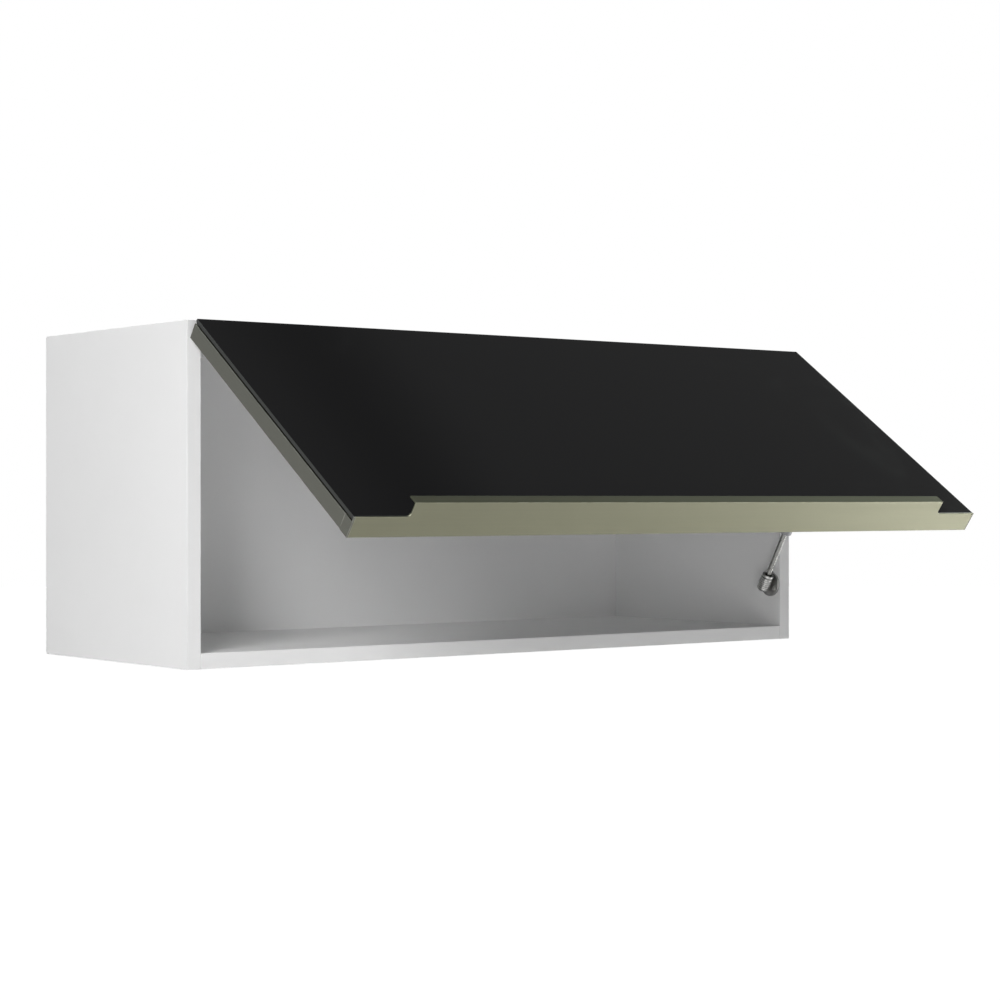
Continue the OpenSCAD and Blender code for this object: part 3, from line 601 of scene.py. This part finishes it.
def plated_metal(name, tone, cloud_tone, rough, grain_scale, cloud_scale, depth, turn=(0, 0, 0)):
    """Plated steel with a cloudy skin, smears and paler edges."""
    made, tree, shader, where = start_material(name, turn)
    grain = place_group(tree, grain_group, Vector=where, Grain_Scale=grain_scale,
                        Cloud_Scale=cloud_scale)
    smears = place_group(tree, smear_group, Vector=where, Scale=120.0)
    edge = place_group(tree, edge_group, Vector=where, Scale=250.0)
    cloudy = mix_colors(tree, grain["Cloud"], cloud_tone, tone)
    pale = tuple(min(1.0, WORN_GAIN * x) for x in tone[:3]) + (1,)
    feed(tree, shader.inputs["Base Color"], mix_colors(tree, edge["Wear"], cloudy, pale))
    skin = remap(tree, grain["Grain"], NOISE_LOW, NOISE_HIGH, rough - SKIN_SPREAD, rough + SKIN_SPREAD)
    smeared = remap(tree, smears["Smears"], 0, 1, 0, SMEAR_SPREAD)
    feed(tree, shader.inputs["Roughness"], math_node(tree, "ADD", skin, smeared))
    shader.inputs["Metallic"].default_value = 1.0
    bump(tree, shader, grain["Grain"], depth)
    return made


ALONG_STRUT = (-lean, 0, 0)
STRUT_SKIN = {"grain_scale": 1300.0, "cloud_scale": 160.0, "depth": 0.015 * MM}
finishes["zinc_steel"] = plated_metal(
    "Zinc plated steel", (0.56, 0.57, 0.58, 1), (0.44, 0.45, 0.46, 1),
    rough=0.38, grain_scale=1200.0, cloud_scale=130.0, depth=0.02 * MM)
finishes["hinge_nickel"] = plated_metal(
    "Nickel plated steel", (0.66, 0.65, 0.63, 1), (0.6, 0.59, 0.575, 1),
    rough=0.2, grain_scale=900.0, cloud_scale=60.0, depth=0.01 * MM)
finishes["rod_chrome"] = plated_metal(
    "Chromed rod", (0.31, 0.31, 0.295, 1), (0.27, 0.27, 0.26, 1),
    rough=0.22, grain_scale=1600.0, cloud_scale=90.0, depth=0.001 * MM, turn=ALONG_STRUT)
finishes["base_steel"] = plated_metal(
    "Dark plated steel", (0.36, 0.36, 0.35, 1), (0.28, 0.28, 0.275, 1),
    rough=0.38, **STRUT_SKIN)
print("plated", finishes["rod_chrome"].name)

# %% [markdown]
# The strut's sockets, its bracket on the door and its screws share a warmer plating, and the grooves
# between the sockets' ribs are darkened with painted shade. The depth below the ribs is the distance from
# the strut's axis, which is the same line for both sockets, so it can be measured in the material itself.
# A painted mask would do it as well, but would need a texture.

# %% Socket steel with painted shade in its grooves
# Distances from the strut's axis between which the painted shade of the grooves darkens
RIB_TOP = 6.95 * MM
RIB_FOOT = 6.65 * MM
GROOVE_SHADE_SHARE = 0.6
GROOVE_SHADE_TONE = (0.05, 0.05, 0.045, 1)
SOCKET_TONES = (0.56, 0.56, 0.54, 1), (0.46, 0.46, 0.45, 1)
finishes["socket_zinc"] = plated_metal("Bracket steel", *SOCKET_TONES, rough=0.22, **STRUT_SKIN)
socket_metal = plated_metal("Ribbed socket steel", *SOCKET_TONES, rough=0.3, **STRUT_SKIN)
tree = socket_metal.node_tree
shader = tree.nodes["Principled BSDF"]
from_foot = add(tree, "VectorMath", {"operation": "SUBTRACT"})
feed(tree, from_foot.inputs[0], add(tree, "TexCoord").outputs["Object"])
from_foot.inputs[1].default_value = strut_foot
upright = add(tree, "Mapping", Vector=from_foot.outputs[0], Rotation=ALONG_STRUT)
sides = add(tree, "VectorMath", {"operation": "MULTIPLY"})
feed(tree, sides.inputs[0], upright.outputs[0])
sides.inputs[1].default_value = LEVEL
from_axis = add(tree, "VectorMath", {"operation": "LENGTH"}, Vector=sides.outputs[0]).outputs["Value"]
# Painted shade: the deeper in a groove, the darker the plating is painted
painted_groove_shade = remap(tree, from_axis, RIB_FOOT, RIB_TOP, GROOVE_SHADE_SHARE, 0, smooth=True)
plating = shader.inputs["Base Color"].links[0].from_socket
feed(tree, shader.inputs["Base Color"], mix_colors(tree, painted_groove_shade, plating, GROOVE_SHADE_TONE))
print("socket", socket_metal.name, len(tree.nodes), "nodes")

# %% [markdown]
# Three small finishes remain: the gray lacquer of the strut's tube, beech dowels and the clear door
# bumpers.

# %% Lacquer, beech and clear rubber
finishes["tube_gray"], shader = grained_surface(
    "Gray lacquer", [(0.3, 0.3, 0.315, 1), (0.34, 0.34, 0.355, 1)],
    grain_scale=700.0, cloud_scale=50.0, depth=0.02 * MM, rough=(0.3, 0.4), turn=ALONG_STRUT)

made, tree, shader, where = start_material("Beech")
rings = place_group(tree, brushed_group, Vector=where, Lines=900.0, Stretch=0.05)
feed(tree, shader.inputs["Base Color"],
     mix_colors(tree, rings["Lines"], (0.42, 0.27, 0.13, 1), (0.58, 0.4, 0.21, 1)))
feed(tree, shader.inputs["Roughness"], remap(tree, rings["Lines"], 0, 1, 0.55, 0.75))
bump(tree, shader, rings["Lines"], 0.05 * MM)
finishes["dowel_wood"] = made

RUBBER_CLEAR = 0.6
finishes["bumper_clear"], shader = grained_surface(
    "Clear rubber", [(0.72, 0.74, 0.74, 1), (0.82, 0.84, 0.84, 1)],
    grain_scale=500.0, cloud_scale=80.0, depth=0.02 * MM, rough=(0.2, 0.35), turn=ALONG_RAIL)
shader.inputs["Transmission Weight"].default_value = RUBBER_CLEAR
print("finishes", len(finishes))

# %% [markdown]
# ## Finishes on the construction
# The record says which finish each node has. Every node gets it first. Those that are rebuilt later
# are then hidden, and small fasteners stay as they are, because their shape is right already.

# %% Paint every node
slot_of = {part["node"]: part["material_slot"] for part in frame["record"]["subparts"]}
for name, node in frame["nodes"].items():
    for slot in node.material_slots:
        slot.material = finishes[slot_of[name]]
print("painted", len(slot_of), "nodes")

# %% [markdown]
# ## Making pieces
# A piece is a mesh that rides on a body of the model and stands for one or more of its nodes. Big
# flat faces are shaded flat and rounded ones smooth, so that a board doesn't look like a pillow.


# %% Piece helpers
# Faces that meet under the first angle are one flat face, and over the second a sharp edge
FLAT = math.radians(1)
SHARP = math.radians(35)


def shade(shell, rounded=()):
    """Flat faces stay flat, and curved ones and the given rounded edges are smooth."""
    rounded = set(rounded)
    for face in shell.faces:
        face.smooth = face in rounded
    for line in shell.edges:
        angle = line.calc_face_angle(0)
        line.smooth = angle < SHARP or any(face in rounded for face in line.link_faces)
        if FLAT < angle < SHARP and not any(face in rounded for face in line.link_faces):
            for face in line.link_faces:
                face.smooth = True


def make_piece(shell, name, stands_for, material=None):
    """Turns a bmesh into a piece that stands for the given nodes."""
    mesh = bpy.data.meshes.new(name)
    shell.to_mesh(mesh)
    shell.free()
    slot = slot_of[stands_for[0]]
    mesh.materials.append(material or finishes[slot])
    made = bpy.data.objects.new(name, mesh)
    bpy.context.scene.collection.objects.link(made)
    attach(made, frame["nodes"][stands_for[0]]["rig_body"])
    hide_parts(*stands_for)
    return made


print("piece helpers are ready")

# %% [markdown]
# Most solids need only their edges broken. A merged copy of the node keeps every bore in its place,
# and Bevel rounds its long edges. The Bevel modifier could do it live, but here the new faces are
# also marked, so that a finish can tell an edge from a face. Before that, the node's triangles are
# joined in pairs. Whole flat faces could be made instead, but one face with hundreds of corners is
# filled badly across its notches, and a face with four corners isn't.


# %% Rounded copies
COPLANAR = math.radians(0.2)
WELD = 0.002 * MM
ROUND_STEPS = 3


def rounded_copy(node, radius, shortest):
    """A merged copy of a node with its long sharp edges rounded and marked."""
    shell = bmesh.new()
    shell.from_mesh(frame["nodes"][node].data)
    mark = shell.faces.layers.float.new("edge")
    bmesh.ops.remove_doubles(shell, verts=shell.verts, dist=WELD)
    bmesh.ops.recalc_face_normals(shell, faces=shell.faces)
    bmesh.ops.join_triangles(shell, faces=shell.faces, angle_face_threshold=COPLANAR,
                             angle_shape_threshold=math.pi)
    sharp = [line for line in shell.edges
             if line.is_manifold and line.calc_face_angle() > SHARP and line.calc_length() > shortest]
    made = bmesh.ops.bevel(shell, geom=sharp, offset=radius, segments=ROUND_STEPS, profile=0.5,
                           affect="EDGES", material=-1, clamp_overlap=False)
    for face in made["faces"]:
        face[mark] = 1.0
    shade(shell, made["faces"])
    return shell


def round_nodes(nodes, radius, shortest, material=None):
    """One rounded piece for each node. Edges up to the shortest length stay sharp."""
    for node in nodes:
        shell = rounded_copy(node, radius, shortest)
        faces = len(shell.faces)
        make_piece(shell, node + "_rounded", [node], material)
        print(node, faces, "faces")


# %% [markdown]
# ## Carcass
# Melamine boards are cut with a fine saw, so their edges are nearly sharp: a third of a millimetre is
# enough to catch a line of light and to show the joint between two boards.

# %% Boards
round_nodes(["left_side_panel", "right_side_panel", "top_panel", "bottom_panel"],
            radius=0.35 * MM, shortest=10 * MM)
round_nodes(["back_panel"], radius=0.25 * MM, shortest=10 * MM)

# %% Front bands
BAND_RADIUS = 0.55 * MM
HAIRLINE = 0.3 * MM
ON_FRONT = 0.1 * MM


def box_between(low, high):
    """A box between two corners, and the layer that marks its edges."""
    shell = bmesh.new()
    mark = shell.faces.layers.float.new("edge")
    bmesh.ops.create_cube(shell, size=1.0)
    bmesh.ops.scale(shell, verts=shell.verts, vec=high - low)
    bmesh.ops.translate(shell, verts=shell.verts, vec=(low + high) / 2)
    return shell, mark


def edge_band(node, joint):
    """A plastic strip with rounded front edges, short by a joint at both ends."""
    low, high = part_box(node)
    low.x += joint
    high.x -= joint
    shell, mark = box_between(low, high)
    front = [line for line in shell.edges
             if all(abs(v.co.y - low.y) < ON_FRONT for v in line.verts)]
    made = bmesh.ops.bevel(shell, geom=front, offset=BAND_RADIUS, segments=4, profile=0.5,
                           affect="EDGES", material=-1, clamp_overlap=True)
    for face in made["faces"]:
        face[mark] = 1.0
    shade(shell, made["faces"])
    return make_piece(shell, node + "_rounded", [node])


for side, joint in (("left", 0), ("right", 0), ("top", HAIRLINE), ("bottom", HAIRLINE)):
    print(edge_band(side + "_edge_band", joint).name)

# %% [markdown]
# ## Door frame
# The profiles are extruded aluminium: their outside corners have a small radius from the die.

# %% Rails and stiles
round_nodes(["top_rail"], radius=0.4 * MM, shortest=3 * MM)
round_nodes(["left_stile", "right_stile"], radius=0.4 * MM, shortest=3 * MM, material=stile_metal)

# %% [markdown]
# The handle rail carries the finger lip. Its lip is thin, so the radius is smaller, and the short
# edges of the hollow corners are rounded too. The caps at its ends have the stiles' gray, as the
# door's side is of one colour in the photograph.

# %% Handle rail and caps
round_nodes(["handle_rail"], radius=0.22 * MM, shortest=0.4 * MM)
round_nodes(["handle_cap_left", "handle_cap_right"],
            radius=0.22 * MM, shortest=0.8 * MM, material=stile_metal)

# %% [markdown]
# ## Glass
# A pane is a box whose edges are ground to a narrow arris, which catches a thin line of light. It is
# shaped upright and then carried onto the lifted door.

# %% Glass pane and tape
ARRIS = 0.5 * MM
BROAD_FACE = 0.9

low, high = box_in(ON_DOOR, "glass_panel")
shell, mark = box_between(low, high)
made = bmesh.ops.bevel(shell, geom=shell.edges[:], offset=ARRIS, segments=2, profile=0.5,
                       affect="EDGES", material=-1, clamp_overlap=True)
shell.normal_update()
for face in shell.faces:
    if abs(face.normal.y) < BROAD_FACE:
        face[mark] = 1.0
shade(shell, made["faces"])
bmesh.ops.transform(shell, matrix=ON_DOOR, verts=shell.verts)
make_piece(shell, "glass_pane", ["glass_panel"])
print("glass", [round(x / MM, 1) for x in high - low], "mm")
round_nodes(["glass_tape"], radius=0.2 * MM, shortest=3 * MM)


# %% [markdown]
# ## Gas strut
# The rod, tube and gland are round all along, as if turned on a lathe, so each is a half outline
# spun about its axis. The outlines take their lengths and radii from the nodes. The rod has a small
# chamfer below and at the piston, and the tube's rims are rolled in.


# %% Turned pieces
def turned(outline, place, steps=72):
    """Spins an outline of (radius, height) points about Z and carries it into place."""
    shell = bmesh.new()
    points = [shell.verts.new((radius, 0, height)) for radius, height in outline]
    lines = [shell.edges.new(pair) for pair in zip(points, points[1:])]
    bmesh.ops.spin(shell, geom=points + lines, axis=(0, 0, 1), cent=(0, 0, 0),
                   angle=2 * math.pi, steps=steps, use_merge=True)
    bmesh.ops.remove_doubles(shell, verts=shell.verts, dist=WELD)
    bmesh.ops.recalc_face_normals(shell, faces=shell.faces)
    shade(shell)
    bmesh.ops.transform(shell, matrix=place, verts=shell.verts)
    return shell


def measures(node):
    """Radius, start and end of a turned node along the strut."""
    low, high = box_in(ON_STRUT, node)
    return (high.y - low.y) / 2, low.z, high.z


def quarter_turn(steps):
    """Angles from 0 to 90 degrees, in radians."""
    return [math.radians(90 * step / steps) for step in range(steps + 1)]


rod_r, rod_start, rod_end = measures("strut_rod")
print("rod", round(2 * rod_r / MM, 2), "mm, from", round(rod_start / MM, 1), "to", round(rod_end / MM, 1))

# %% Rod and tube
# The rod's end inside the piston is a neck of this share of its radius
NECK = 0.6
CHAMFER = 0.4 * MM
piston_start = measures("strut_piston")[1]
make_piece(turned([(0, rod_start), (rod_r - CHAMFER, rod_start), (rod_r, rod_start + CHAMFER),
                   (rod_r, piston_start - CHAMFER), (rod_r - CHAMFER, piston_start),
                   (NECK * rod_r, piston_start), (NECK * rod_r, rod_end), (0, rod_end)], ON_STRUT),
           "strut_rod_turned", ["strut_rod"])

tube_r, tube_start, tube_end = measures("strut_tube")
TUBE_WALL = 1.2 * MM
ROLL = 1.3 * MM


def rolled_end(radius, end, inward):
    """The rim of the tube, rolled in over a quarter circle."""
    centre = radius - ROLL
    return [(centre + ROLL * math.cos(a), end + inward * ROLL * (1 - math.sin(a)))
            for a in quarter_turn(9)]


near_rim = rolled_end(tube_r, tube_start, 1)
far_rim = rolled_end(tube_r, tube_end, -1)
bore_r = tube_r - TUBE_WALL
tube_outline = near_rim[::-1] + far_rim + [(bore_r, tube_end - ROLL), (bore_r, tube_start + ROLL)]
tube_outline.append(tube_outline[0])
make_piece(turned(tube_outline, ON_STRUT), "strut_tube_turned", ["strut_tube"])
print("tube", round(2 * tube_r / MM, 2), "mm")

# %% [markdown]
# The sockets that snap on the studs are short barrels with ribs round them for the fingers. Two bores
# cross in each, one for the stud and one for the rod. A spun outline would close them, so the sockets
# are merged copies, and their ribs and rims are rounded by less than a rib is deep. The edges round
# the bores are shorter than the bore step, so they stay sharp and the bores keep their size. The foot
# plate is a merged copy too, because screws pass through it.

# %% Ribbed sockets and the foot plate
RIB_ROUND = 0.08 * MM
BORE_STEP = 0.45 * MM
round_nodes(["strut_lower_socket", "strut_upper_socket"],
            radius=RIB_ROUND, shortest=BORE_STEP, material=socket_metal)
round_nodes(["strut_base"], radius=0.3 * MM, shortest=0.3 * MM)

# %% [markdown]
# The gland closes the tube's lower end and guides the rod. In the photograph it is a dark ring round
# the rod. It could stay a plain ring, but its mouth is spun as a small funnel, which holds a shadow.

# %% Gland
# Play round the rod, depth of the funnel, and how far out from the rod and in from the end the
# funnel's mouth and its shoulder are
PLAY = 0.1 * MM
FUNNEL_DEPTH = 1.2 * MM
MOUTH_OUT, MOUTH_IN = 0.8 * MM, 0.3 * MM
SHOULDER_OUT, SHOULDER_IN = 1.6 * MM, 0.1 * MM

gland_r, gland_start, gland_end = measures("strut_gland")
gland_outline = [(rod_r + PLAY, gland_start + FUNNEL_DEPTH), (rod_r + MOUTH_OUT, gland_start + MOUTH_IN),
                 (rod_r + SHOULDER_OUT, gland_start + SHOULDER_IN), (gland_r, gland_start + SHOULDER_IN),
                 (gland_r, gland_end), (rod_r + PLAY, gland_end)]
gland_outline.append(gland_outline[0])
make_piece(turned(gland_outline, ON_STRUT), "strut_gland_turned", ["strut_gland"])
print("gland", round(2 * gland_r / MM, 1), "mm")

# %% [markdown]
# ## Fittings
# Hinges, brackets and the door's strut bracket are stamped from sheet: their edges are tumbled, so
# about a quarter of a millimetre goes all round, except at bores, whose edges are too short.

# %% Hinges and brackets
round_nodes(["hinge_plate_left", "hinge_plate_right"], radius=0.25 * MM, shortest=1.5 * MM)
round_nodes(["hinge_arm_left", "hinge_arm_right", "hinge_cup_left", "hinge_cup_right"],
            radius=0.2 * MM, shortest=1.5 * MM)
round_nodes(["wall_bracket_left", "wall_bracket_right"], radius=0.3 * MM, shortest=2 * MM)
round_nodes(["strut_bracket"], radius=0.3 * MM, shortest=2 * MM)

# %% [markdown]
# Door bumpers are drops of clear rubber: a low dome, spun about the axis on which it stands.

# %% Bumpers
FOOT_SHARE = 0.45


def bumper_outline(radius, height):
    """A low dome with a short upright foot."""
    foot = FOOT_SHARE * height
    rise = height - foot
    dome = [(radius * math.cos(a), foot + rise * math.sin(a)) for a in quarter_turn(10)]
    return [(0, 0), (radius, 0)] + dome


low, high = box_in(ON_DOOR, "door_bumpers")
bumper_r = (high.z - low.z) / 2
shell = bmesh.new()
for x in (low.x + bumper_r, high.x - bumper_r):
    spot = Matrix.Translation((x, low.y, low.z + bumper_r))
    place = ON_DOOR @ spot @ Matrix.Rotation(-math.pi / 2, 4, "X")
    one = turned(bumper_outline(bumper_r, high.y - low.y), place, steps=48)
    part = bpy.data.meshes.new("bumper")
    one.to_mesh(part)
    one.free()
    shell.from_mesh(part)
    bpy.data.meshes.remove(part)
make_piece(shell, "door_bumper_domes", ["door_bumpers"])
print("bumpers", round(2 * bumper_r / MM, 1), "mm")

# %% [markdown]
# ## The end
# The picture is shown as the colours are written, with no film look. How much the dressed model's size
# differs from the construction's is printed, because finishes must not make it grow.

# %% Sizes and last line
bpy.context.scene.view_settings.view_transform = "Standard"
low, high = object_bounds()
print("grown by", [round(x / MM, 3) for x in (high - low) - (cad_high - cad_low)], "mm")
